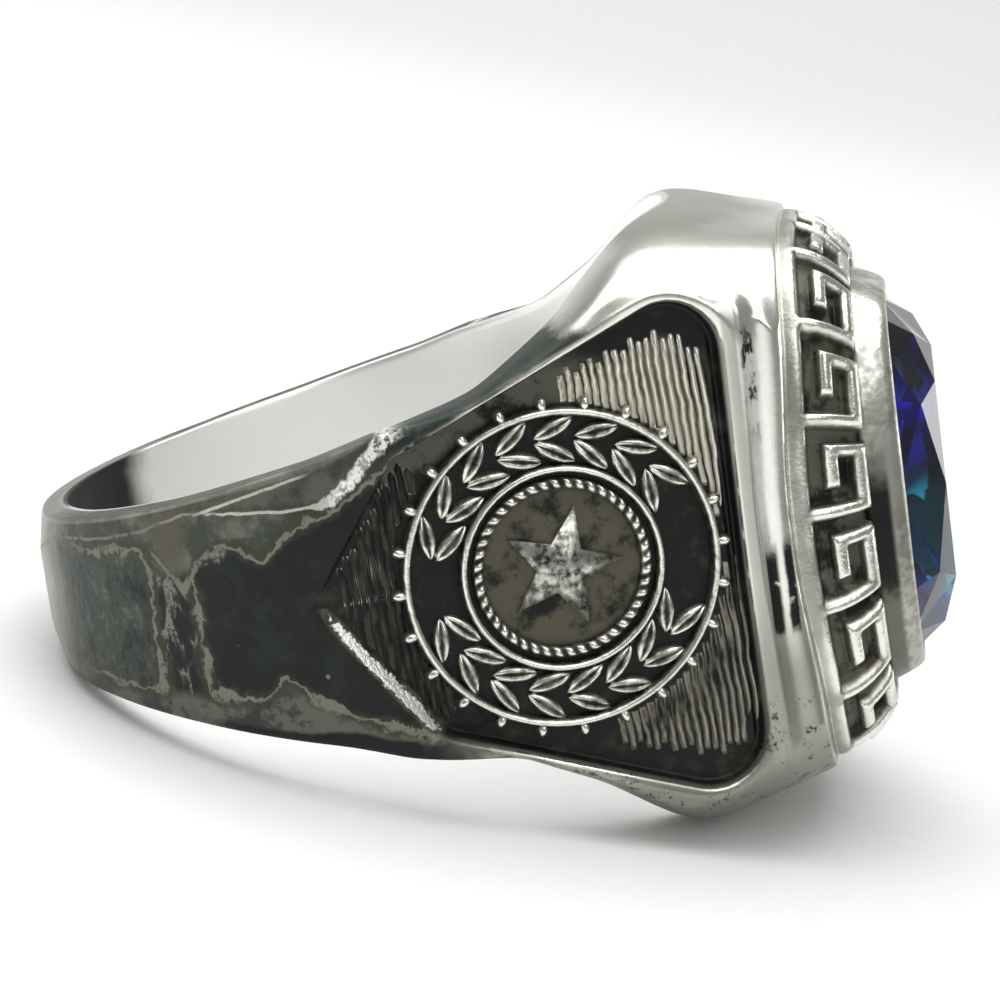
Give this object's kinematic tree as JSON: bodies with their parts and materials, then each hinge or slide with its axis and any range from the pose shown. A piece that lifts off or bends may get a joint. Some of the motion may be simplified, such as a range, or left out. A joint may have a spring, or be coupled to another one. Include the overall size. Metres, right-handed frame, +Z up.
{
  "type": "service anniversary ring",
  "caption": "Heavy cast ring with a faceted blue cushion stone, a raised border round its bezel and sunk side panels with a medallion, lying on its side.",
  "frame": {"origin": "on the ground, under the middle of the ring as it lies on its side", "axes": "+X from the back of the shank towards the stone, +Y across the ring, +Z up; the finger axis leans 19 degrees from +Z towards -X"},
  "size_m": [0.03, 0.0236, 0.0187],
  "materials": {
    "band_metal": "tarnished silver, polished where it is worn",
    "blue_stone": "faceted and polished"
  },
  "bodies": {
    "root": {"band": "band_metal", "stone": "blue_stone"}
  },
  "joints": []
}
